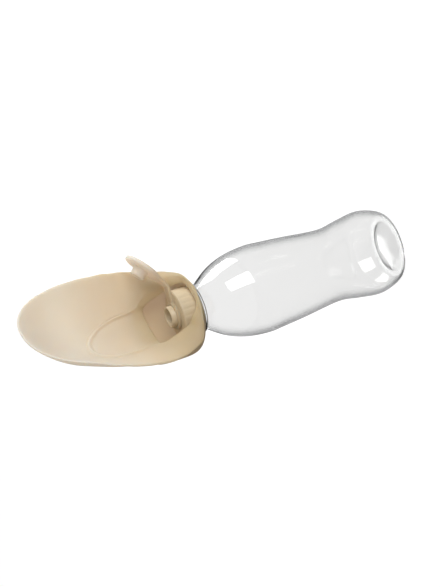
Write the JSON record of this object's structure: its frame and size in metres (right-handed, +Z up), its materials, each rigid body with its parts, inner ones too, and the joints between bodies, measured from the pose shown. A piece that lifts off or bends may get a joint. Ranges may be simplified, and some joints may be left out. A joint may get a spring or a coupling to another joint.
{
  "type": "dog travel water bottle",
  "caption": "Clear contoured drinking bottle with a screw cap, a pouring nozzle with a strap-held stopper, and a soft leaf-shaped drinking bowl clamped at its neck.",
  "frame": {"origin": "centre of the ring that the bottle stands on, level with the table", "axes": "+Z up the bottle's axis to its neck, +X towards the side that the leaf bowl opens to, +Y across the leaf"},
  "size_m": [0.0772, 0.094, 0.3067],
  "materials": {
    "clear_plastic": "clear polished",
    "white_seal": "matte",
    "cap_plastic": "satin moulded",
    "bowl_silicone": "matte silicone",
    "stopper_silicone": "matte silicone"
  },
  "bodies": {
    "bottle": {"bottle": "clear_plastic"},
    "seal": {"cap_gasket": "white_seal"},
    "head": {"cap": "cap_plastic", "bowl": "bowl_silicone", "stopper_ring": "stopper_silicone"},
    "stopper": {"stopper": "stopper_silicone"}
  },
  "joints": [
    {"name": "cap_lift", "type": "slide", "parent": "bottle", "child": "seal", "axis": [0, 0, 1], "range_m": [0, 0.006]},
    {"name": "cap_turn", "type": "hinge", "parent": "seal", "child": "head", "pos_m": [0, 0, 0.1695], "axis": [0, 0, 1], "range_deg": [0, 720]},
    {"name": "stopper_swing", "type": "hinge", "parent": "head", "child": "stopper", "pos_m": [0.0157, 0.01626, 0.1867], "axis": [-0.7193, 0.6947, 0], "range_deg": [-60, 18], "stiffness_Nm_per_rad": 0.02}
  ],
  "couplings": [
    {"joint": "cap_lift", "follows": "cap_turn", "m_per_rad": 0.000477}
  ]
}
